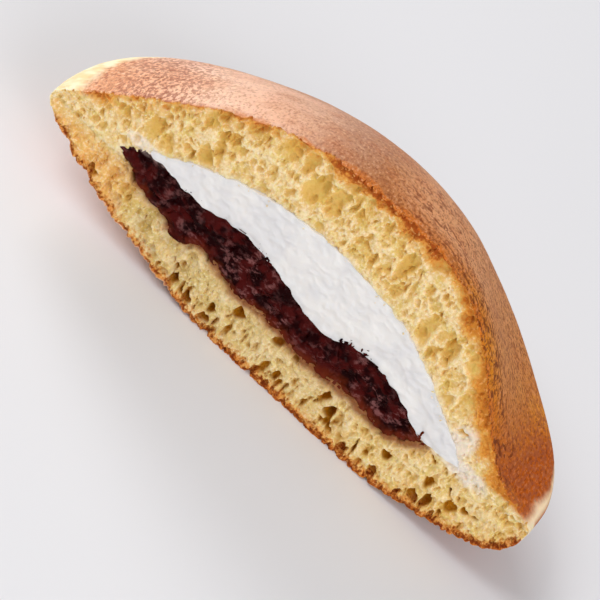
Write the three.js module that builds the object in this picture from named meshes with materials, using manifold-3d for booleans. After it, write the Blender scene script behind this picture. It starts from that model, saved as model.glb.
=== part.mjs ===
// One half of a dorayaki: two round griddle cakes pressed together at the rim, with sweet bean
// paste and whipped cream between them, cut straight down the middle.
//
// Millimetres, +Z up. It lies on the browned underside of the lower cake. The cut face looks
// along -Y, +X runs along the cut, and the origin is on the table under the middle of the box.

import * as THREE from 'three'
import { mergeVertices } from 'three/addons/utils/BufferGeometryUtils.js'
import Module from 'manifold-3d'

// Driving dimensions of the whole round cake.
const radius = 46
const height = 37.6
const rimHeight = 12.5 // the widest line above the table, where the two cakes meet
const gap = 0.3 // between pieces that touch

// The cake is uneven, so its curves have one value toward -X, one toward +Y and one toward +X.
// The crown falls away from the top later with more fullness, and faster with more slope.
const crown = {
  fullness: { left: 2.6, back: 2.6, right: 3.4 },
  slope: { left: 1.6, back: 1.7, right: 3.8 },
}

// The rounded rim stands this far above the widest line, and turns down over its last few mm.
const rim = { rise: 3.8, turn: 11 }

// The underside is flat in the middle, then sweeps up and turns round into the rim.
const underside = {
  flat: { left: 8, back: 20, right: 22 },
  sweep: { left: 1.2, back: 1.3, right: 1.4 },
  roundness: { left: 0.6, back: 0.55, right: 0.5 },
}

// How much the outline draws in between the ends and the back of the half.
const outlineDip = 0.5

// The paste and the cream along the cut: the heights of their edges at a few places on X.
// Both are lens-shaped, so each top and bottom meets at its two tips.
const paste = {
  top: [[-34, 13.7], [-27, 16.6], [-22, 16.2], [-9, 17.4], [2, 14.4], [6, 14.3], [10, 16.1],
    [17, 15.9], [22, 13.9], [26.5, 11.7]],
  bottom: [[-34, 13.7], [-29, 11.6], [-23, 10.3], [-19, 8.7], [-15, 10.4], [-9, 8.7],
    [0, 8.8], [5, 8.2], [13, 8.8], [22, 8.8], [26.5, 11.7]],
}
const cream = {
  top: [[-29.5, 16.8], [-25, 19.4], [-18, 23], [-8, 25.3], [4, 25.4], [14, 23.4], [24, 18.3],
    [32.5, 13]],
  bottom: [[-29.5, 16.8], [-20, 13.6], [0, 12.2], [20, 11.9], [26.5, 12], [32.5, 13]],
}

// How finely each form is faceted: steps round it, and steps from pole to pole.
const cakeSteps = [84, 44]
const fillingSteps = [60, 24]

const wasm = await Module()
wasm.setup()

const toSolid = (geometry) => new wasm.Manifold(new wasm.Mesh({
  numProp: 3,
  vertProperties: geometry.getAttribute('position').array,
  triVerts: geometry.getIndex().array,
}))

function toGeometry(solid) {
  const { vertProperties, triVerts } = solid.getMesh()
  const geometry = new THREE.BufferGeometry()
  geometry.setAttribute('position', new THREE.BufferAttribute(vertProperties, 3))
  geometry.setIndex(new THREE.BufferAttribute(triVerts, 1))
  geometry.computeVertexNormals()
  return geometry
}

// A closed ball whose every point is moved by shape(share of the way out from the axis, turn
// about the axis, upper half or not), which gives its new place.
function shapedBall([around, poleToPole], shape) {
  const ball = new THREE.SphereGeometry(1, around, poleToPole)
  ball.rotateX(Math.PI / 2)
  ball.deleteAttribute('normal')
  ball.deleteAttribute('uv')
  const merged = mergeVertices(ball)
  const place = merged.getAttribute('position')
  for (let i = 0; i < place.count; i++) {
    const out = Math.min(1, Math.hypot(place.getX(i), place.getY(i)))
    const turn = Math.atan2(place.getY(i), place.getX(i))
    place.setXYZ(i, ...shape(out, turn, place.getZ(i) > 0))
  }
  return toSolid(merged)
}

function block(low, high) {
  const size = high.map((value, i) => value - low[i])
  const box = new THREE.BoxGeometry(...size)
  box.translate(...size.map((value, i) => low[i] + value / 2))
  box.deleteAttribute('normal')
  box.deleteAttribute('uv')
  return toSolid(mergeVertices(box))
}

// What a value with a left, a back and a right comes to at a turn from +X about the axis.
function toward({ left, back, right }, turn) {
  const along = Math.cos(turn)
  return back + along * (right - left) / 2 + along ** 2 * ((right + left) / 2 - back)
}

// Heights of the cake's outside over the table, at a share of the way out and a turn.
function crownHeight(out, turn) {
  const fall = (1 - out ** toward(crown.fullness, turn)) ** toward(crown.slope, turn)
  const shoulder = rimHeight + rim.rise
  return rimHeight + rim.rise * Math.sqrt(1 - out ** rim.turn) + (height - shoulder) * fall
}

function undersideHeight(out, turn) {
  const flat = toward(underside.flat, turn)
  const past = Math.max(0, out * radius - flat) / (radius - flat)
  const depth = (1 - past ** toward(underside.sweep, turn)) ** toward(underside.roundness, turn)
  return rimHeight * (1 - depth)
}

// The whole cake, with no filling, and its axis at X = Y = 0.
function wholeCake() {
  return shapedBall(cakeSteps, (out, turn, upper) => {
    const reach = out * (radius - outlineDip * Math.sin(2 * turn) ** 2)
    const z = upper ? crownHeight(out, turn) : undersideHeight(out, turn)
    return [reach * Math.cos(turn), reach * Math.sin(turn), z]
  })
}

// A filling with the given edges along the cut, swept half round from one end to the other.
// spare thickens it all over.
function filling(edges, spare) {
  const [left, right] = [edges.top.at(0)[0], edges.top.at(-1)[0]]
  const [middle, reach] = [(left + right) / 2, (right - left) / 2]
  const curve = (points) => new THREE.CubicInterpolant(
    points.map(([x]) => x), points.map(([, z]) => z), 1, new Float64Array(1))
  const [top, bottom] = [curve(edges.top), curve(edges.bottom)]
  return shapedBall(fillingSteps, (out, turn, upper) => {
    const edge = upper ? top : bottom
    const atLeft = edge.evaluate(middle - out * reach)[0]
    const atRight = edge.evaluate(middle + out * reach)[0]
    const z = THREE.MathUtils.lerp(atLeft, atRight, (1 + Math.cos(turn)) / 2)
    const wide = out * (reach + spare)
    const lift = spare * Math.sqrt(1 - out ** 4) * (upper ? 1 : -1)
    return [middle + wide * Math.cos(turn), wide * Math.sin(turn), z + lift]
  })
}

const far = 2 * radius
const nearHalf = block([-far, -far, -far], [far, 0, far])
const belowSeam = block([-far, -far, -far], [far, far, rimHeight + gap / 2])
const aboveSeam = block([-far, -far, rimHeight - gap / 2], [far, far, far])
const hollow = filling(paste, gap).add(filling(cream, gap))

const solids = {
  top_cake: wholeCake().subtract(hollow).subtract(belowSeam),
  bottom_cake: wholeCake().subtract(hollow).subtract(aboveSeam),
  cream: filling(cream, 0).subtract(filling(paste, gap)),
  bean_paste: filling(paste, 0),
}

const materials = {
  top_cake: { color: 0xc08a5e, roughness: 0.75 },
  bottom_cake: { color: 0xe6cf8f, roughness: 0.85 },
  cream: { color: 0xf0efec, roughness: 0.55 },
  bean_paste: { color: 0x2d1216, roughness: 0.3 },
}

// The half, moved back so that the box and not the round is centred on the origin.
const dorayaki = new THREE.Group()
for (const [name, solid] of Object.entries(solids)) {
  const material = new THREE.MeshStandardMaterial({ ...materials[name], metalness: 0 })
  const piece = new THREE.Mesh(toGeometry(solid.subtract(nearHalf)), material)
  piece.name = name
  piece.position.y = -radius / 2
  dorayaki.add(piece)
}

export default dorayaki
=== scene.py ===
import math
import random
from collections import Counter

import bpy
from mathutils import Matrix, Vector


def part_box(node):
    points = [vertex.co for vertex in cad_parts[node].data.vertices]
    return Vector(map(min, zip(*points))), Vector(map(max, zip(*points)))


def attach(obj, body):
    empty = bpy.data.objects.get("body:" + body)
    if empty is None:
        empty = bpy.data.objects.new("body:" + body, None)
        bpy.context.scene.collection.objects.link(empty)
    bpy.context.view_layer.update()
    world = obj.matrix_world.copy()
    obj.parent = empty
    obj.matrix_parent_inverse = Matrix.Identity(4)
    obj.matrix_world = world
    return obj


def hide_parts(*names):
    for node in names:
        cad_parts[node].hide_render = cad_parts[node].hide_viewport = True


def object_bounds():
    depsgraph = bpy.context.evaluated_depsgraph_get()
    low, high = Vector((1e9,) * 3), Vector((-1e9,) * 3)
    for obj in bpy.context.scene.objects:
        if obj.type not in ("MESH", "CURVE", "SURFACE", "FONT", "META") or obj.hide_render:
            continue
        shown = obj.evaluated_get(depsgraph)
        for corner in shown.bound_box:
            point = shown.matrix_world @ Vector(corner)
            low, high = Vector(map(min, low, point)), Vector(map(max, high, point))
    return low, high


# A dorayaki cut in half. It lies on its browned underside, with the cut towards -Y.
# Lengths are in millimetres until they are multiplied by mm.
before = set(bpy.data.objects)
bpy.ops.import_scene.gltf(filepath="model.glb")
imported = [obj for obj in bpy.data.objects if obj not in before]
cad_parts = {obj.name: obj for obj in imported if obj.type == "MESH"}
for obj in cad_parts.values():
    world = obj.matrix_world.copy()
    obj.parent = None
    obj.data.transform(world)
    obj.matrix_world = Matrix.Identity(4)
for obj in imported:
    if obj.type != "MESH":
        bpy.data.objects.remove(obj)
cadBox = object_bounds()
mm = 0.001
cutFace = cadBox[0].y / mm  # the half was cut along this plane, which is also the round's middle
seam = (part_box("top_cake")[0].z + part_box("bottom_cake")[1].z) / 2 / mm  # where the cakes meet


class Flow:  # a node's socket that reads like a number: 1 - mask adds a Math node
    def __init__(self, tree, socket=None):
        self.tree = tree
        self.socket = socket

    def add(self, kind, settings=None, values=None, output=0):
        node = self.tree.nodes.new(kind)
        for name, value in (settings or {}).items():
            if name == "stops":  # of a colour ramp
                while len(node.color_ramp.elements) < len(value):
                    node.color_ramp.elements.new(1)
                for element, (position, colour) in zip(node.color_ramp.elements, value):
                    element.position = position
                    element.color = colour
            elif name == "points":  # of a float curve
                points = node.mapping.curves[0].points
                while len(points) < len(value):
                    points.new(1, 1)
                for point, place in zip(points, value):
                    point.location = place
                node.mapping.update()
            else:
                setattr(node, name, value)
        for name, value in (values or {}).items():
            if isinstance(value, Flow):
                self.tree.links.new(value.socket, node.inputs[name])
            else:
                node.inputs[name].default_value = value
        return Flow(self.tree, node.outputs[output] if len(node.outputs) else None)

    def other(self, output):
        return Flow(self.tree, self.socket.node.outputs[output])

    def maths(self, operation, *values):
        return self.add("ShaderNodeMath", {"operation": operation}, dict(enumerate(values)))

    def __add__(self, value):
        return self.maths("ADD", self, value)

    def __radd__(self, value):
        return self.maths("ADD", value, self)

    def __sub__(self, value):
        return self.maths("SUBTRACT", self, value)

    def __rsub__(self, value):
        return self.maths("SUBTRACT", value, self)

    def __mul__(self, value):
        return self.maths("MULTIPLY", self, value)

    def __rmul__(self, value):
        return self.maths("MULTIPLY", value, self)

    def __truediv__(self, value):
        return self.maths("DIVIDE", self, value)

    def __pow__(self, value):
        return self.maths("POWER", self, value)


def largest(first, second):
    return first.maths("MAXIMUM", first, second)


def smallest(first, second):
    return first.maths("MINIMUM", first, second)


def ease(value, start, end, low=0, high=1):  # from low at start to high at end, smoothly
    return value.add(
        "ShaderNodeMapRange",
        {"interpolation_type": "SMOOTHSTEP"},
        {"Value": value, "From Min": start, "From Max": end, "To Min": low, "To Max": high},
    )


def between(share, first, second):  # numbers
    return first + (second - first) * share


def tint(share, first, second):  # colours
    return share.add("ShaderNodeMix", {"data_type": "RGBA"}, {0: share, 6: first, 7: second}, 2)


def split(vector):
    first = vector.add("ShaderNodeSeparateXYZ", None, {0: vector})
    return first, first.other(1), first.other(2)


def join(x, y, z):
    host = next(part for part in (x, y, z) if isinstance(part, Flow))
    return host.add("ShaderNodeCombineXYZ", None, {0: x, 1: y, 2: z})


def combine(operation, first, second):  # two vectors
    host = first if isinstance(first, Flow) else second
    return host.add("ShaderNodeVectorMath", {"operation": operation}, {0: first, 1: second})


def scaled(vector, amount):
    values = {0: vector, "Scale": amount}
    return vector.add("ShaderNodeVectorMath", {"operation": "SCALE"}, values)


def noise(vector, size, detail=2, rough=0.5, output=0):  # 0 to 1, with lumps about size apart
    values = {"Vector": vector, "Scale": 1 / size, "Detail": detail, "Roughness": rough}
    return vector.add("ShaderNodeTexNoise", None, values, output)


def bentPlace(place, size, reach):  # drawn aside in waves about size apart
    bend = combine("SUBTRACT", noise(place, size, 2, 0.5, 1), (0.5, 0.5, 0.5))
    return combine("ADD", place, scaled(bend, reach))


def cells(vector, size, feature="F1"):  # how far the nearest middle is, or the wall between two
    values = {"Vector": vector, "Scale": 1 / size}
    return vector.add("ShaderNodeTexVoronoi", {"feature": feature}, values)


def linear(red, green, blue):  # a colour as seen on a screen, 0 to 255
    def one(value):
        value /= 255
        return value / 12.92 if value <= 0.04045 else ((value + 0.055) / 1.055) ** 2.4

    return (one(red), one(green), one(blue), 1)


def tones(**named):
    return {name: linear(*tone) for name, tone in named.items()}


def only(piece):
    bpy.ops.object.select_all(action="DESELECT")
    piece.select_set(True)
    bpy.context.view_layer.objects.active = piece


def applyModifiers(piece):
    only(piece)
    for modifier in list(piece.modifiers):
        bpy.ops.object.modifier_apply(modifier=modifier.name)


def runNodes(piece, name, build):  # build(flow, geometry) gives the new geometry
    tree = bpy.data.node_groups.new(name, "GeometryNodeTree")
    for way in ("INPUT", "OUTPUT"):
        tree.interface.new_socket("Geometry", in_out=way, socket_type="NodeSocketGeometry")
    flow = Flow(tree)
    geometry = flow.add("NodeGroupInput")
    flow.add("NodeGroupOutput", None, {0: build(flow, geometry)})
    piece.modifiers.new(name, "NODES").node_group = tree
    applyModifiers(piece)
    bpy.data.node_groups.remove(tree)


def takeAway(piece, tool):
    modifier = piece.modifiers.new("cut", "BOOLEAN")
    modifier.operation = "DIFFERENCE"
    modifier.solver = "MANIFOLD"
    modifier.object = tool
    applyModifiers(piece)


def makeTriangles(piece):
    only(piece)
    bpy.ops.object.mode_set(mode="EDIT")
    bpy.ops.mesh.select_mode(type="VERT")
    bpy.ops.mesh.select_all(action="SELECT")
    bpy.ops.mesh.quads_convert_to_tris()
    while True:  # a corner with two edges is the tip of a flap, which hangs on the skin by one side
        bpy.ops.mesh.select_all(action="DESELECT")
        bpy.ops.object.mode_set(mode="OBJECT")
        edges = Counter(corner for edge in piece.data.edges for corner in edge.vertices)
        tips = [corner for corner, count in edges.items() if count == 2]
        if not tips:
            return
        for corner in tips:
            piece.data.vertices[corner].select = True
        bpy.ops.object.mode_set(mode="EDIT")
        bpy.ops.mesh.delete(type="VERT")


def copyOf(piece, name):
    other = piece.copy()
    other.data = piece.data.copy()
    other.name = name
    bpy.context.scene.collection.objects.link(other)
    return other


def discard(*tools):
    for tool in tools:
        bpy.data.objects.remove(tool)


def meshPlace(flow):
    return scaled(flow.add("GeometryNodeInputPosition"), 1 / mm)


def moveTo(flow, geometry, place):
    values = {"Geometry": geometry, "Position": scaled(place, mm)}
    return flow.add("GeometryNodeSetPosition", None, values)


def moveBy(flow, geometry, step):
    return flow.add("GeometryNodeSetPosition", None, {"Geometry": geometry, "Offset": step})


def swellBy(flow, geometry, amount):  # outwards along the normals
    return moveBy(flow, geometry, scaled(flow.add("GeometryNodeInputNormal"), amount * mm))


def mouldBall(name, fineness, form, relief):
    bpy.ops.mesh.primitive_ico_sphere_add(subdivisions=fineness, radius=1)
    ball = bpy.context.object
    ball.name = name
    runNodes(ball, name + " form", form)
    runNodes(ball, name + " relief", relief)
    return ball


# Both cakes are one round. Three values in a row are those towards -X, +Y and +X.
cakeShape = {
    "radius": (cadBox[1].x - cadBox[0].x) / 2 / mm - 0.02,
    "height": cadBox[1].z / mm - 0.03,
    "fullness": (2.6, 2.1, 3.4),  # of the crown; a higher power keeps it flat further out
    "slope": (1.6, 1.39, 3.8),  # a higher power brings it down sooner
    "rimRise": (3.8, 4.4, 2.5),  # from the seam to where the crown starts
    "narrowing": (3, 4),  # how close to the cut the crown keeps the shape of its ends, -X and +X
    "rimTurn": 11,
    "flat": (8, 20, 21),  # how far the flat spot on the floor reaches from the middle
    "sweep": (1.2, 1.25, 1.2),  # from there up to the rim
    "roundness": (0.6, 0.5, 0.3),
    "outlineDip": (0.3, 0.8, 1.6),  # how far the outline draws in, half way round to the back
    "cheek": 0.8,  # how far the +X end stands out beyond the round, beside the cut
    "fineness": 8,
}
skinShape = {
    "swell": (11, 0.22),  # size and depth
    "dimples": (1.3, 0.1),
    "grain": (0.9, 0.11),
    "bandGrain": 0.05,  # the pale band is smoother
    "topStarts": (14.5, 16.5),  # heights where the browned top begins over the band
    "undersideStarts": (9.5, 8),
    "settles": (0.1, 1.5),  # heights under which the flat spot stays flat
}


def toward(values, along, powers=(2, 2)):
    left, back, right = values
    leftShare = largest(-1 * along, 0) ** powers[0]
    rightShare = largest(along, 0) ** powers[1]
    return back + (left - back) * leftShare + (right - back) * rightShare


def ballParts(flow):  # how far out a point is, its direction, and whether it is in the upper half
    x, y, z = split(flow.add("GeometryNodeInputPosition"))
    out = smallest((x * x + y * y) ** 0.5, 1)
    along = x / largest(out, 0.0001)
    across = y / largest(out, 0.0001)
    return out, along, across, flow.maths("GREATER_THAN", z, 0)


def crownHeight(out, along):
    shape = cakeShape
    rise, fullness, slope = [
        toward(shape[name], along, shape["narrowing"]) for name in ("rimRise", "fullness", "slope")
    ]
    fall = largest(1 - out**fullness, 0) ** slope
    nose = largest(1 - out ** shape["rimTurn"], 0) ** 0.5
    return seam + rise * nose + (shape["height"] - seam - rise) * fall


def undersideHeight(out, along):
    shape = cakeShape
    flat = toward(shape["flat"], along)
    past = largest(out * shape["radius"] - flat, 0) / (shape["radius"] - flat)
    swept = largest(1 - past ** toward(shape["sweep"], along), 0)
    return seam * (1 - swept ** toward(shape["roundness"], along))


def cakeForm(flow, geometry):
    out, along, across, upper = ballParts(flow)
    dip = toward(cakeShape["outlineDip"], along) * (4 * along * along * across * across) ** 3
    beside = across.maths("ABSOLUTE", across)
    cheek = ease(beside, 0, 0.22) * ease(beside, 0.65, 0.25) * ease(along, 0, 0.4)
    reach = out * (cakeShape["radius"] - dip + cakeShape["cheek"] * cheek)
    z = between(upper, undersideHeight(out, along), crownHeight(out, along))
    return moveTo(flow, geometry, join(reach * along, reach * across + cutFace, z))


def skinRelief(flow, geometry):
    shape = skinShape
    place = meshPlace(flow)
    z = split(place)[2]
    size, swellDepth = shape["swell"]
    swell = noise(place, size, 1)
    size, dimpleDepth = shape["dimples"]
    dimples = ease(cells(place, size), 0, 0.55, 1, 0) * ease(noise(place, 4), 0.4, 0.6)
    size, grainDepth = shape["grain"]
    grain = noise(place, size, 3, 0.6)
    browned = largest(ease(z, *shape["topStarts"]), ease(z, *shape["undersideStarts"]))
    depth = swell * swellDepth + browned * (dimples * dimpleDepth + grain * grainDepth)
    depth = depth + (1 - browned) * grain * shape["bandGrain"]
    return swellBy(flow, geometry, depth * ease(z, *shape["settles"], 0.15) * -1)


def halfAt(piece, height, keepAbove):  # leaves the half above the height, or the one below
    side = 120 * mm  # of a block larger than the round
    middle = height * mm + (-side / 2 if keepAbove else side / 2)
    bpy.ops.mesh.primitive_cube_add(size=side, location=(0, cutFace * mm, middle))
    block = bpy.context.object
    bpy.ops.object.transform_apply(location=True, rotation=False, scale=False)
    takeAway(piece, block)
    discard(block)


# The fillings' outlines on the cut are points in x and z, from one tip to the other.
pasteShape = {
    "top": [(-34, 13.7), (-27, 16.6), (-22, 16.2), (-9, 17.4), (2, 14.4), (6, 14.3),
            (10, 16.1), (17, 15.9), (22, 13.9), (26.5, 11.7)],
    "bottom": [(-34, 13.7), (-29, 11.6), (-23, 10.3), (-19, 8.7), (-15, 10.4), (-9, 8.7),
               (0, 8.8), (5, 8.2), (13, 8.8), (22, 8.8), (26.5, 11.7)],
    "ruffle": 0.7,
    "fineness": 7,
}
creamShape = {
    "top": [(-29.5, 16.8), (-25, 19.4), (-18, 23), (-8, 25.3), (4, 25.4), (14, 23.4),
            (24, 18.3), (32.5, 13)],
    "bottom": [(-29.5, 16.8), (-20, 13.6), (0, 12.2), (20, 11.9), (26.5, 12), (32.5, 13)],
    "ruffle": 0.5,
    "fineness": 7,
}
fillingTop = 30  # above every filling
spare = {"filling": 0.05, "core": -0.3}  # the cakes' hollow is smaller, so that no gap shows


def edgeHeight(points, x):
    left, right = points[0][0], points[-1][0]
    places = [((px - left) / (right - left), z / fillingTop) for px, z in points]
    share = (x - left) / (right - left)
    return share.add("ShaderNodeFloatCurve", {"points": places}, {"Value": share}) * fillingTop


def fillingMiddle(shape):
    left, right = shape["top"][0][0], shape["top"][-1][0]
    return (left + right) / 2, (right - left) / 2


def gapTo(shape, x, z):  # from the filling's outline on the cut, negative inside
    middle, reach = fillingMiddle(shape)
    aside = (x - middle).maths("ABSOLUTE", x - middle) - reach
    above = z - edgeHeight(shape["top"], x)
    below = edgeHeight(shape["bottom"], x) - z
    return largest(aside, largest(above, below))


def makeFilling(shape, name, larger):  # larger by so much all round
    middle, reach = fillingMiddle(shape)

    def form(flow, geometry):
        out, along, across, upper = ballParts(flow)
        edges = []
        for points in (shape["bottom"], shape["top"]):
            atLeft = edgeHeight(points, middle - out * reach)
            atRight = edgeHeight(points, middle + out * reach)
            edges.append(between((1 + along) / 2, atLeft, atRight))
        lift = larger * largest(1 - out**4, 0) ** 0.5 * (2 * upper - 1)
        wide = out * (reach + larger)
        z = between(upper, edges[0], edges[1]) + lift
        return moveTo(flow, geometry, join(middle + wide * along, wide * across + cutFace, z))

    def ruffle(flow, geometry):
        place = meshPlace(flow)
        wave = noise(place, 3.4, 1) + noise(place, 1.7, 1) * 0.5 - 0.75  # about as much in as out
        return swellBy(flow, geometry, wave * 2 * shape["ruffle"])

    return mouldBall(name, shape["fineness"], form, ruffle)


# A knife is a block whose back is the cut as it looks, pores and all.
knife = {
    "size": (96, 60, 42),
    "below": 2,  # how far it reaches under the floor
    "step": 0.22,
}


def makeKnife(name, relief):  # relief(x, z) is how deep it goes past the cut
    wide, deep, tall = knife["size"]
    bpy.ops.mesh.primitive_grid_add(
        x_subdivisions=round(wide / knife["step"]),
        y_subdivisions=round(tall / knife["step"]),
        size=1,
        location=(0, cutFace * mm, (tall / 2 - knife["below"]) * mm),
        rotation=(math.pi / 2, 0, 0),
    )
    tool = bpy.context.object
    tool.name = name
    tool.scale = (wide * mm, tall * mm, 1)
    bpy.ops.object.transform_apply(location=True, rotation=True, scale=True)
    bpy.ops.object.mode_set(mode="EDIT")
    bpy.ops.mesh.select_mode(type="EDGE")
    bpy.ops.mesh.select_all(action="DESELECT")
    bpy.ops.mesh.select_non_manifold()
    bpy.ops.mesh.extrude_region_move(TRANSFORM_OT_translate={"value": (0, -deep * mm, 0)})
    bpy.ops.mesh.edge_face_add()
    bpy.ops.mesh.select_all(action="SELECT")
    bpy.ops.mesh.normals_make_consistent(inside=False)
    bpy.ops.object.mode_set(mode="OBJECT")

    def press(flow, geometry):
        x, y, z = split(meshPlace(flow))
        back = flow.maths("GREATER_THAN", y, cutFace - 1)
        return moveBy(flow, geometry, join(0, relief(x, z) * back * mm, 0))

    runNodes(tool, name + " press", press)
    return tool


cutMargin = 0.05  # how far behind the cut's plane the crumb and the paste start
crumbShape = {  # low and high: which cells are hollow, and how many of them fully
    "swell": (6, 0.45),  # size and depth
    "bend": (2.4, 1.5),
    "large": {"size": 2.8, "tallness": 1.9, "seed": 3.1, "low": 0.05, "high": 0.7, "depth": 1.6},
    "deep": {"size": 1.7, "tallness": 1.3, "seed": 8.7, "low": 0.8, "high": 0.89, "depth": 2.2},
    "middling": {"size": 1.2, "tallness": 1.35, "seed": 5.3, "low": 0.1, "high": 0.9, "depth": 0.7},
    "column": {"size": 0.95, "tallness": 2.8, "seed": 7.7, "low": 0.3, "high": 0.7, "depth": 1.1},
    "small": {"size": 0.62, "tallness": 1.3, "seed": 1.9, "low": 0, "high": 0.7, "depth": 0.36},
    "grain": (0.42, 0.4),
    "torn": (2.8, 1.1),  # lumps where the knife dragged, low on the left
    "chips": (0.9, 1.2),  # along the crust's cut edge
}


def hollows(x, z, kind):  # round cups with thin walls between, in irregular cells
    kind = crumbShape[kind]
    place = join(x, z / kind["tallness"], kind["seed"])
    wall = cells(place, kind["size"], "DISTANCE_TO_EDGE")
    middle = cells(place, kind["size"])
    chance = split(middle.other("Color"))[0]
    cup = largest(1 - middle * middle * 2.2, 0) ** 0.5 * ease(wall, 0, 0.18)
    return cup * ease(chance, kind["low"], kind["high"]) * kind["depth"]


def crumbSwell(x, z):
    size, depth = crumbShape["swell"]
    swell = noise(join(x, 0, z), size, 1) * depth
    size, depth = crumbShape["torn"]
    torn = ease(x, -8, -22) * ease(z, 12, 9)
    return swell + ease(noise(join(x, 0, z), size), 0.4, 0.6) * torn * depth


def crumbRelief(x, z):
    place = join(x, 0, z)
    bentX, bentY, bentZ = split(bentPlace(place, *crumbShape["bend"]))
    upper = ease(z, seam - 0.5, seam + 1.5)
    airy = upper * ease(z, 17, 21) * ease(x, 30, 20)
    large = hollows(bentX, bentZ, "large") * between(airy, 0.22, 1)
    deep = hollows(bentX, bentZ, "deep") * between(upper, 1, 0.4)
    middling = hollows(bentX, bentZ, "middling") * between(upper, 0.8, ease(x, 30, 18, 0.45, 1))
    column = hollows(bentX, bentZ, "column") * ease(z, 7, 3)
    size, depth = crumbShape["grain"]
    fine = hollows(bentX, bentZ, "small") + noise(place, size, 2, 0.6) * depth
    fine = fine * ease(large, 0.2, 1.1, 1, 0.35) + crumbSwell(x, z)

    # the crust holds together, and so does the crumb beside the cream
    out = smallest(x.maths("ABSOLUTE", x) / cakeShape["radius"], 1)
    side = x.maths("SIGN", x)
    toSkin = smallest(crownHeight(out, side) - z, z - undersideHeight(out, side))
    dense = ease(toSkin, 0.2, 1.4, 0.3, 1) * ease(gapTo(creamShape, x, z), 0, 1.2, 0.4, 1)
    fine = fine * ease(toSkin, 0, 1.6, 0.5, 1)
    size, depth = crumbShape["chips"]
    chips = ease(noise(place, size, 2, 0.6), 0.46, 0.66) * ease(toSkin, 1.2, 0) * depth
    chips = chips * between(upper, 0.5, 1)
    return cutMargin + (largest(large, deep) + middling + column) * dense + fine + chips


creamCut = {
    "bend": (3.5, 3),
    "drag": (0.55, 1, 1),  # the knife drew it out along x
    "sag": (6, 0.25),  # size and depth
    "waves": (2.4, 0.5),
    "smears": (1.2, 0.16),
    "forward": 0.1,  # all of it comes so much nearer to the cut's plane
}


def creamRelief(x, z):
    place = join(x, 0, z)
    drag = combine("MULTIPLY", bentPlace(place, *creamCut["bend"]), creamCut["drag"])
    size, depth = creamCut["waves"]
    waves = noise(drag, size, 1) * depth
    size, depth = creamCut["smears"]
    smears = ease(noise(drag, size, 3, 0.55), 0.4, 0.62) * depth
    size, depth = creamCut["sag"]
    return noise(place, size, 1) * depth + waves + smears - creamCut["forward"]


pasteCut = {
    "stretch": 1.3,  # along x
    "bend": (2.6, 2.2),
    "beans": (2.9, 1.8),  # size and depth
    "nubs": (1.35, 0.6),
    "mash": (1.2, 0.5),
    "folds": (2.4, 0.35),
    "planed": 0.3,  # the knife left the highest places flat, so far down
}


def pasteRelief(x, z):
    place = bentPlace(join(x / pasteCut["stretch"], 0, z), *pasteCut["bend"])
    size, beanDepth = pasteCut["beans"]
    beans = cells(place, size, "SMOOTH_F1")
    size, nubDepth = pasteCut["nubs"]
    nubs = cells(combine("ADD", place, (4, 0, 2)), size, "SMOOTH_F1")
    size, mashDepth = pasteCut["mash"]
    mash = noise(place, size)
    size, foldDepth = pasteCut["folds"]
    folds = noise(combine("ADD", place, (9, 0, 5)), size) - 0.5
    folds = ease(folds.maths("ABSOLUTE", folds), 0, 0.07, 1, 0)
    lumps = beans * beans * beanDepth + nubs * nubs * nubDepth
    lumps = lumps + mash * mashDepth + folds * foldDepth
    return cutMargin + largest(lumps - pasteCut["planed"], 0)


print("shaping the cakes and fillings")
bpy.ops.object.select_all(action="DESELECT")
wholeRound = mouldBall("round", cakeShape["fineness"], cakeForm, skinRelief)
upperCake = copyOf(wholeRound, "upper_cake")
lowerCake = copyOf(wholeRound, "lower_cake")
halfAt(upperCake, seam, True)
halfAt(lowerCake, seam, False)
pasteCore = makeFilling(pasteShape, "paste core", spare["core"])
creamCore = makeFilling(creamShape, "cream core", spare["core"])
beanPaste = makeFilling(pasteShape, "sweet_bean_paste", spare["filling"])
whippedCream = makeFilling(creamShape, "whipped_cream", spare["filling"])

print("cutting")
crumbKnife = makeKnife("crumb knife", crumbRelief)
for cake in (upperCake, lowerCake):
    takeAway(cake, creamCore)
    takeAway(cake, pasteCore)
    takeAway(cake, crumbKnife)
takeAway(whippedCream, pasteCore)
creamKnife = makeKnife("cream knife", creamRelief)
takeAway(whippedCream, creamKnife)
pasteKnife = makeKnife("paste knife", pasteRelief)
takeAway(beanPaste, pasteKnife)


def measure(piece, name, target):  # how far each point lies from the target's faces
    def build(flow, geometry):
        other = flow.add("GeometryNodeObjectInfo", None, {"Object": target}, "Geometry")
        far = flow.add("GeometryNodeProximity", None, {"Target": other}, "Distance")
        values = {"Geometry": geometry, "Name": name, "Value": far / mm}
        return flow.add("GeometryNodeStoreNamedAttribute", {"data_type": "FLOAT"}, values)

    runNodes(piece, name, build)


# What the knife left on the cut. A spot is a place along the line, its reach and how many bits.
looseBits = {
    "cake_crumbs": {
        "line": creamShape["top"],
        "spots": [(-18, 6, 12), (4, 8, 10), (22, 4, 14), (31, 1.5, 6)],
        "size": (0.2, 0.42),
        "spread": 0.6,
        "seed": 4,
    },
    "bean_skins": {
        "line": pasteShape["top"],
        "spots": [(-20, 2, 3), (9.5, 2, 14), (25.5, 0.8, 7), (-9, 1, 6)],
        "size": (0.2, 0.6),
        "spread": 0.4,
        "seed": 9,
    },
}


def heightOn(points, x):
    for (startX, startZ), (endX, endZ) in zip(points, points[1:]):
        if startX <= x <= endX:
            return startZ + (endZ - startZ) * (x - startX) / (endX - startX)
    return points[-1][1]


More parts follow.
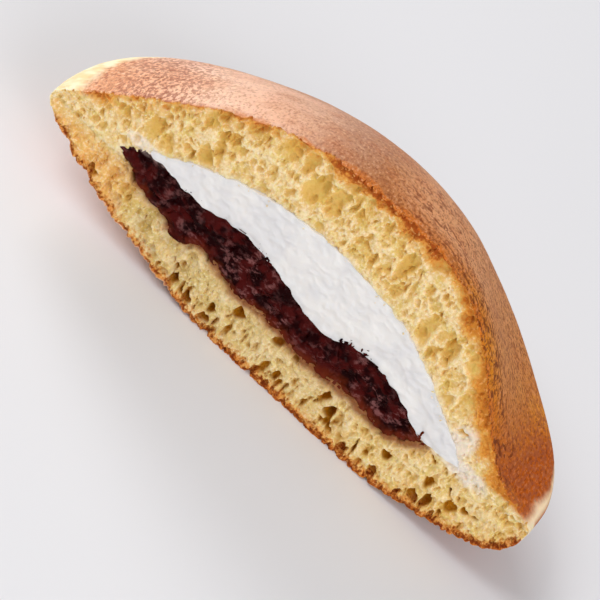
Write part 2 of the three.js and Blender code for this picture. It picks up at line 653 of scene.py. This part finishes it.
def dropBit(dice, settings, middle, reach, ground):  # onto the ground's nearest face
    x = dice.gauss(middle, reach)
    z = heightOn(settings["line"], x) + dice.gauss(0, settings["spread"])
    start = Vector((x, cutFace - 5, z)) * mm
    hits = [piece.ray_cast(start, Vector((0, 1, 0))) for piece in ground]
    hits = [place for hit, place, normal, face in hits if hit]
    if not hits:
        return None
    nearest = min(hits, key=lambda place: place.y)
    size = dice.uniform(*settings["size"])
    nearest.y = max(nearest.y, (cutFace + size) * mm)  # inside the cut's plane
    bpy.ops.mesh.primitive_ico_sphere_add(
        subdivisions=2,
        radius=size * mm,
        location=nearest,
        rotation=[dice.uniform(0, math.pi) for turn in range(3)],
        scale=(1, dice.uniform(0.5, 0.9), dice.uniform(0.4, 0.7)),
    )
    return bpy.context.object


def scatterBits(name, ground):
    settings = looseBits[name]
    dice = random.Random(settings["seed"])
    bits = []
    for middle, reach, count in settings["spots"]:
        for bit in range(count):
            bits.append(dropBit(dice, settings, middle, reach, ground))

    def roughen(flow, geometry):
        return swellBy(flow, geometry, noise(meshPlace(flow), 0.35) * -0.25)

    bpy.ops.object.select_all(action="DESELECT")
    for bit in filter(None, bits):
        bit.select_set(True)
    bpy.ops.object.join()
    heap = bpy.context.object
    heap.name = name
    bpy.ops.object.transform_apply(location=True, rotation=True, scale=True)
    runNodes(heap, name + " roughness", roughen)
    return heap


cakeCrumbs = scatterBits("cake_crumbs", [upperCake, whippedCream])
beanSkins = scatterBits("bean_skins", [beanPaste, whippedCream])

print("measuring")
for piece in (beanPaste, beanSkins):
    measure(piece, "crumbDepth", lowerCake)
for piece in (upperCake, lowerCake, cakeCrumbs):
    measure(piece, "skinDepth", wholeRound)
    measure(piece, "pasteDepth", beanPaste)
    measure(piece, "creamDepth", whippedCream)
discard(wholeRound, pasteCore, creamCore, crumbKnife, creamKnife, pasteKnife)


def newMaterial(name):
    material = bpy.data.materials.new(name)
    material.use_nodes = True
    material.node_tree.nodes.clear()
    return material, Flow(material.node_tree)


def surface(flow, values):
    shader = flow.add("ShaderNodeBsdfPrincipled", None, values)
    flow.add("ShaderNodeOutputMaterial", None, {"Surface": shader})


def bump(flow, height, strength=1, reach=0.1):
    values = {"Height": height, "Strength": strength, "Distance": reach * mm}
    return flow.add("ShaderNodeBump", None, values)


def attribute(flow, name):
    return flow.add("ShaderNodeAttribute", {"attribute_name": name}, None, "Fac")


def objectPlace(flow):
    return scaled(flow.add("ShaderNodeTexCoord", None, None, "Object"), 1 / mm)


def blot(x, z, middle, reach):  # a soft oval patch on the cut
    across = (x - middle[0]) / reach[0]
    up = (z - middle[1]) / reach[1]
    return ease(across * across + up * up, 1, 0.3)


# Tones are as seen on a screen, 0 to 255.
# The crust's browning along the round; its palest stops, near -28 and -20, are a painted sheen
# highlight.
browning = [  # places along the round, and the crust's tone there
    (-40, (232, 162, 116)), (-28, (253, 206, 176)), (-20, (242, 188, 156)), (-10, (192, 136, 102)),
    (-3, (184, 116, 66)), (10, (202, 122, 58)), (24, (222, 136, 10)), (38, (184, 84, 0)),
]
browningReach = 46  # to each side of the middle
skinTones = tones(
    behindTop=(222, 157, 109),
    behindEnd=(210, 134, 68),
    mottle=(186, 98, 40),
    toastLeft=(212, 136, 82),
    toastRight=(212, 116, 32),
    lightLeft=(252, 208, 170),
    lightRight=(226, 164, 118),
    darkLeft=(168, 92, 62),
    darkRight=(124, 56, 22),
    streaks=(130, 62, 24),
    blotches=(160, 84, 50),
    dashes=(108, 46, 10),
)


def skinColour(flow, place, x, deep, specks, wander):
    tone = skinTones
    along = x * ease(deep, 12, 34, 1, 0.4)  # the browning evens out towards the back
    drift = (noise(place, 13, 1) - 0.5) * ease(deep, 2, 14) * 22
    span = 2 * browningReach
    stops = [((at + browningReach) / span, linear(*colour)) for at, colour in browning]
    share = (along + drift + browningReach) / span
    brown = flow.add("ShaderNodeValToRGB", {"stops": stops}, {"Fac": share})
    # Away from the cut, from the middle to the +X end, the crust is painted paler: a painted sheen
    # where the light falls.
    behind = ease(deep, 1.5, 8) * ease(x, -6, 4) * ease(x, 40, 29)
    paler = tint(ease(x, 8, 34), tone["behindTop"], tone["behindEnd"])
    brown = tint(behind * 0.9, brown, paler)
    brown = tint(ease(noise(place, 5, 3, 0.6), 0.42, 0.7, 0, 0.35), brown, tone["mottle"])

    # the toasted edge beside the cut
    ragged = deep + noise(place, 0.6) * 1.6 - wander * ease(x, -30, 0, 0.8, 2)
    toast = tint(ease(x, -24, 0), tone["toastLeft"], tone["toastRight"])
    brown = tint(ease(ragged, 2, 0.4, 0, 0.9), brown, toast)

    # light and dark specks, weakest where the skin is palest; the light specks lie on the grain
    # that the bump raises and are partly painted highlights
    patches = noise(place, 2.2)
    rough = 1 - ease(along, -34, -26) * ease(along, 8, -8) * 0.45
    pale = ease(specks, 0.53, 0.64) * ease(along, 30, -20, 0.25, 0.75)
    light = tint(ease(along, -20, 10), tone["lightLeft"], tone["lightRight"])
    brown = tint(pale * rough, brown, light)
    dark = tint(ease(along, -24, -6), tone["darkLeft"], tone["darkRight"])
    brown = tint(ease(specks, 0.47, 0.36, 0, 0.8) * rough, brown, dark)
    dots = ease(cells(place, 0.8), 0.32, 0.12) * ease(patches, 0.4, 0.56)
    brown = tint(dots * 0.55, brown, dark)

    # streaks over the shoulder, blotches at both ends and dashes behind the cut
    streaks = noise(combine("MULTIPLY", place, (0.6, 0.9, 0.6)), 0.7, 3, 0.6)
    shoulder = ease(x, -12, 6) * ease(x, 38, 28, 0.4, 1)
    streaks = ease(streaks, 0.5, 0.6) * ease(patches, 0.6, 0.42, 0.3, 0.8) * shoulder
    brown = tint(streaks, brown, tone["streaks"])
    blotches = noise(combine("ADD", squat(place), (5, 0, 0)), 0.55, 2, 0.6)
    ends = largest(ease(x, -24, -34) * ease(x, -43, -37), ease(x, 30, 38) * 0.8)
    ends = ends * ease(blotches, 0.46, 0.56)
    brown = tint(ends * 0.75, brown, tone["blotches"])
    dashes = noise(combine("MULTIPLY", place, (0.55, 0.9, 0.55)), 0.7, 1)
    beside = ease(deep, 9, 5) * ease(x, 8, 16) * ease(x, 42, 36)
    return tint(ease(dashes, 0.56, 0.62) * beside * 0.8, brown, tone["dashes"])


def squat(place):  # stretched towards the back
    return combine("MULTIPLY", place, (1, 0.45, 1))


paleBand = {  # round the rim, between the browned top and the browned underside
    "top": 15.8,
    "topFalls": (0.4, 2.2, 1.3),  # lower by so much at +X, at +Y, and again close to +X
    "bottom": 10.3,
    "bottomRises": 2.2,  # at +X
    "endStarts": 30,  # where the band begins to change towards the +X end
    "endReached": 40,
    "tones": tones(pale=(253, 238, 198), shade=(246, 216, 158), right=(255, 224, 186)),
}


def brownedShare(place, x, deep, z):  # 1 over the band and under it, 0 on it
    band = paleBand
    nearEnd = ease(x, band["endStarts"], band["endReached"])
    wobble = noise(place, 3, 3) * 1.8 - 0.9
    wobble = wobble * ease(x, band["endStarts"], band["endReached"], 1, 0.5)
    outward = largest((x * x + deep * deep) ** 0.5, 1)
    side, back, right = band["topFalls"]
    top = band["top"] - side * x / outward - back * deep / outward
    top = top - ease(x / outward, 0.2, 1, 0, right) - nearEnd * ease(deep, 0, 8, 0.2, 0)
    over = ease((z + wobble - top) / between(nearEnd, 0.7, 0.4), -1, 1)
    bottom = band["bottom"] + band["bottomRises"] * largest(x / outward, 0)
    bottom = bottom + nearEnd * ease(deep, 0, 3, -2.2, 0.7)
    return largest(over, ease(z + wobble * 0.5 - bottom, 0.4, -0.5))


def bandColour(place, x):
    tone = paleBand["tones"]
    band = tint(ease(noise(place, 3), 0.4, 0.6), tone["pale"], tone["shade"])
    return tint(ease(x, 10, 40, 0, 0.8), band, tone["right"])


crumbTones = tones(
    walls=(250, 224, 174),
    shallow=(234, 194, 112),
    deep=(218, 176, 78),
    risen=(226, 184, 92),
    golden=(226, 172, 76),
    lemon=(228, 204, 116),
    lower=(212, 192, 122),
    torn=(206, 168, 80),
    clumpShade=(200, 178, 92),
    clumpLight=(244, 230, 184),
    lowerMiddle=(236, 208, 166),
    lowerLeft=(252, 186, 100),
    pores=(184, 120, 12),
    pits=(210, 160, 70),
    rims=(255, 236, 204),
)


def crumbColour(place, x, z, skin, hollow, lower, pits):
    tone = crumbTones
    # The crumb turns darker and more golden into its hollows: partly its own tone there, partly
    # painted shade.
    crumb = tint(ease(hollow, 0.25, 1.1), tone["walls"], tone["shallow"])
    crumb = tint(ease(hollow, 1.2, 2.5), crumb, tone["deep"])
    rise = noise(combine("MULTIPLY", place, (1, 1, 0.45)), 1.5, 3, 0.6)
    crumb = tint(ease(rise, 0.44, 0.64, 0, 0.6), crumb, tone["risen"])
    golden = ease(skin, 5, 1.5) * ease(noise(place, 2.6), 0.4, 0.58)
    crumb = tint(golden * 0.5, crumb, tone["golden"])
    lemon = ease(noise(combine("ADD", place, (7, 0, 3)), 1.7), 0.5, 0.62)
    crumb = tint(lemon * 0.4, crumb, tone["lemon"])

    # the lower cake is torn and dragged on the left
    crumb = tint(lower * ease(x, 28, 6, 0.1, 0.45), crumb, tone["lower"])
    crumb = tint(lower * ease(crumbSwell(x, z), 0.6, 1.3, 0, 0.4), crumb, tone["torn"])
    clump = noise(combine("ADD", place, (3, 0, 9)), 3, 1)
    dragged = lower * ease(x, 8, -10) * ease(x, -34, -26)
    crumb = tint(ease(clump, 0.48, 0.4) * dragged * 0.4, crumb, tone["clumpShade"])
    crumb = tint(ease(clump, 0.48, 0.58) * dragged * 0.6, crumb, tone["clumpLight"])
    middle = lower * ease(x, -28, -18) * ease(x, 22, 12)
    crumb = tint(middle * 0.25, crumb, tone["lowerMiddle"])
    crumb = tint(lower * ease(x, -24, -33) * 0.55, crumb, tone["lowerLeft"])
    # The lower cake's pores are dark brown: partly the crumb's tone inside them, partly painted
    # shade.
    crumb = tint(lower * ease(hollow, 0.75, 1.6), crumb, tone["pores"])

    # Darker in the fine pits that the bump lowers, partly painted shade; lighter on the rims it
    # raises near the cut, painted highlights.
    crumb = tint(ease(pits, 0.48, 0.34, 0, 0.3), crumb, tone["pits"])
    rims = ease(hollow, 1.2, 0.5) * ease(pits, 0.52, 0.64)
    return tint(rims * between(lower, 0.6, 0.45), crumb, tone["rims"])


crustTones = tones(
    outer=(166, 80, 24),
    inner=(224, 144, 60),
    right=(226, 152, 58),
    beadShade=(122, 48, 6),
    beadLight=(238, 176, 104),
    fading=(230, 168, 80),
)


def crustColour(place, x, skin, lower, wander, crumb):  # the crust's cut edge, fading to crumb
    tone = crustTones
    thin = between(lower, wander * 1.5 - ease(x, -5, -20), ease(x, -16, 0, 0.1, 0.6))
    depth = skin + (noise(place, 0.5) * 2.4 + 1.1 - thin)
    beads = noise(place, 0.7, 2, 0.6)
    crust = tint(ease(depth + beads * 1.6, 2.1, 4), tone["outer"], tone["inner"])
    crust = tint((1 - lower) * ease(x, 10, 20) * 0.6, crust, tone["right"])
    crust = tint(lower * ease(beads, 0.43, 0.53, 0.9, 0.25), crust, tone["beadShade"])
    # Pale dots on the crust: painted highlights on its beads.
    crust = tint(ease(beads, 0.57, 0.64, 0, 0.6), crust, tone["beadLight"])
    edge = tint(ease(depth + lower * 0.6, 2.8, 4.2), tone["fading"], crumb)
    return tint(ease(depth, 2.3, 3.2), crust, edge)


soakedTones = tones(
    cream=(250, 236, 214),
    paste=(200, 148, 94),
    pasteEdge=(134, 68, 30),
    smear=(246, 232, 216),
)
creamSmears = [  # each a middle and a reach on the cut, x and z
    ((30, 16.2), (2.6, 3.6)),
    ((33.5, 12.6), (4.6, 2)),
    ((-31, 16.5), (4.2, 1.2)),
]


def soakedColour(flow, place, x, z, hollow, lower, edge):  # beside the fillings
    tone = soakedTones
    cream = attribute(flow, "creamDepth") + noise(place, 1.5) * 1.6
    cream = ease(cream, 0.7, 1.6, 0.45, 0) * ease(x, -5, 25, 0.5, 1)
    edge = tint(cream, edge, tone["cream"])
    paste = attribute(flow, "pasteDepth") + noise(place, 1.2) * 0.8 - ease(x, -8, 8, 0.4, 0.7)
    edge = tint(ease(paste, 0.4, 2, 0.5, 0) * lower, edge, tone["paste"])
    edge = tint(ease(paste, 0, 1.1, 0.85, 0) * lower, edge, tone["pasteEdge"])
    first, second, third = [blot(x, z, *spot) for spot in creamSmears]
    smear = largest(largest(first, second), third)
    smear = smear * ease(noise(place, 1.1), 0.22, 0.46) * ease(hollow, 1.4, 0.6)
    return tint(smear * 0.8, edge, tone["smear"])


def bakedFinish():
    material, flow = newMaterial("baked griddle cake")
    place = objectPlace(flow)
    x, y, z = split(place)
    deep = y - cutFace
    hollow = deep - crumbSwell(x, z)
    lower = ease(z, seam + 1, seam - 2)
    skin = attribute(flow, "skinDepth")
    wander = ease(noise(place, 4), 0.38, 0.62)
    specks = noise(squat(place), 0.42, 3, 0.6)
    pits = noise(place, 0.42, 2, 0.6)
    browned = brownedShare(place, x, deep, z)
    brown = skinColour(flow, place, x, deep, specks, wander)
    outside = tint(browned, bandColour(place, x), brown)
    crumb = crumbColour(place, x, z, skin, hollow, lower, pits)
    edge = tint(browned, crumb, crustColour(place, x, skin, lower, wander, crumb))
    edge = soakedColour(flow, place, x, z, hollow, lower, edge)
    relief = specks + noise(place, 0.35, 3, 0.6) * 0.6 + pits * 0.5
    surface(flow, {
        "Base Color": tint(ease(skin, 0.02, 0.22), outside, edge),
        "Roughness": between(ease(skin, 0, 0.3), ease(x, -10, 24, 0.44, 0.72), 0.8),
        "Normal": bump(flow, relief * ease(hollow, 0.9, 1.8, 1, 0.4), 0.8, 0.2),
        "Specular IOR Level": 0.13,
        "Subsurface Weight": 0.3,
        "Subsurface Radius": (1.0, 0.65, 0.25),
        "Subsurface Scale": 1.1 * mm,
    })
    return material


creamTones = tones(light=(238, 235, 232), shade=(228, 226, 226))


def creamFinish():
    material, flow = newMaterial("whipped cream")
    place = objectPlace(flow)
    tone = tint(ease(noise(place, 4), 0.35, 0.65), creamTones["light"], creamTones["shade"])
    surface(flow, {
        "Base Color": tone,
        "Roughness": ease(noise(place, 1.2), 0.3, 0.7, 0.42, 0.6),
        "Normal": bump(flow, noise(place, 0.5, 2, 0.6), 0.25, 0.1),
        "Subsurface Weight": 0.5,
        "Subsurface Radius": (1.0, 0.9, 0.8),
        "Subsurface Scale": 1.5 * mm,
    })
    return material


pasteTones = tones(
    mash=(28, 0, 1),
    fold=(70, 14, 12),
    skins=(142, 90, 88),
    thin=(104, 38, 16),
    smear=(176, 150, 144),
)
pasteSmear = ((-30.5, 16.6), (5, 1.3))  # its middle and reach on the cut


def pasteFinish():
    material, flow = newMaterial("sweet bean paste")
    place = objectPlace(flow)
    x, y, z = split(place)
    paste = tint(ease(noise(place, 2.4, 3), 0.44, 0.62), pasteTones["mash"], pasteTones["fold"])
    # Purple-grey streaks: bean skins, partly painted glints.
    skins = noise(combine("MULTIPLY", place, (0.6, 1, 1)), 1.1, 4, 0.65)
    patch = ease(noise(place, 5, 1), 0.4, 0.6, 0.2, 1) * ease(x, -28, -4, 0.4, 1)
    paste = tint(ease(skins, 0.5, 0.66) * patch * 0.8, paste, pasteTones["skins"])
    near = attribute(flow, "crumbDepth") + noise(place, 1.5) * 1.6
    thin = ease(near - ease(x, -8, 8, 0, 0.5), 0.4, 1.9, 0.8, 0)
    paste = tint(thin, paste, pasteTones["thin"])
    smear = blot(x, z, *pasteSmear) * ease(noise(place, 1.3), 0.35, 0.6)
    surface(flow, {
        "Base Color": tint(smear * 0.7, paste, pasteTones["smear"]),
        "Roughness": ease(noise(place, 0.9), 0.3, 0.7, 0.13, 0.32),
        "Normal": bump(flow, noise(place, 0.6, 2, 0.6), 0.35, 0.2),
        "Specular IOR Level": 0.04,
    })
    return material


print("finishing")
baked = bakedFinish()
bean = pasteFinish()
pieces = [
    (upperCake, "top_cake", "griddle_cake", baked),
    (lowerCake, "bottom_cake", "griddle_cake", baked),
    (whippedCream, "cream", "cream", creamFinish()),
    (beanPaste, "bean_paste", "bean_paste", bean),
    (cakeCrumbs, None, "griddle_cake", baked),
    (beanSkins, None, "bean_paste", bean),
]
for piece, node, slot, material in pieces:
    makeTriangles(piece)
    bpy.ops.object.shade_smooth_by_angle(angle=math.radians(60))
    piece.data.materials.clear()
    piece.data.materials.append(material)
    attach(piece, "root")
    if node:
        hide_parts(node)
    print(piece.name, len(piece.data.polygons), "triangles")

studio = {
    "floor": 3,  # this and the other lengths here are in metres
    "floorTone": (232, 231, 234),
    "elevation": 34,  # degrees
    "azimuth": -2,
    "roll": 43.9,
    "distance": 0.95,
    "lens": 400,  # mm
    "aim": (0, -0.0126, 0.0087),
    "lights": {  # place, size and power
        "window": ((-0.64, 0.58, 0.43), 0.4, 5),
        "key": ((-0.6, -0.3, 0.68), 0.45, 3),
        "fill": ((0.42, -0.78, 0.48), 0.45, 3.3),
        "side": ((0.8, -0.24, 0.26), 0.4, 1.8),
    },
    "ambient": 0.35,
}
print("setting up the studio")
bpy.ops.mesh.primitive_plane_add(size=studio["floor"])
floor = bpy.context.object
floor.name = "floor"
floorMaterial, flow = newMaterial("pale floor")
surface(flow, {"Base Color": linear(*studio["floorTone"]), "Roughness": 0.6})
floor.data.materials.append(floorMaterial)

aim = Vector(studio["aim"])
azimuth, elevation = math.radians(studio["azimuth"]), math.radians(studio["elevation"])
back = Vector((
    math.sin(azimuth) * math.cos(elevation),
    -math.cos(azimuth) * math.cos(elevation),
    math.sin(elevation),
))
bpy.ops.object.camera_add()
camera = bpy.context.object
camera.data.lens = studio["lens"]
camera.data.clip_end = 10
turn = (-back).to_track_quat("-Z", "Y").to_matrix().to_4x4()
roll = Matrix.Rotation(math.radians(studio["roll"]), 4, "Z")
camera.matrix_world = Matrix.Translation(aim + back * studio["distance"]) @ turn @ roll
bpy.context.scene.camera = camera

for name, (place, size, power) in studio["lights"].items():
    bpy.ops.object.light_add(type="AREA", location=place)
    light = bpy.context.object
    light.name = name
    light.data.size = size
    light.data.energy = power
    light.rotation_euler = (aim - Vector(place)).to_track_quat("-Z", "Y").to_euler()
world = bpy.data.worlds.new("studio")
world.use_nodes = True
world.node_tree.nodes["Background"].inputs["Color"].default_value = (1, 1, 1, 1)
world.node_tree.nodes["Background"].inputs["Strength"].default_value = studio["ambient"]
bpy.context.scene.world = world
bpy.context.scene.view_settings.view_transform = "Standard"
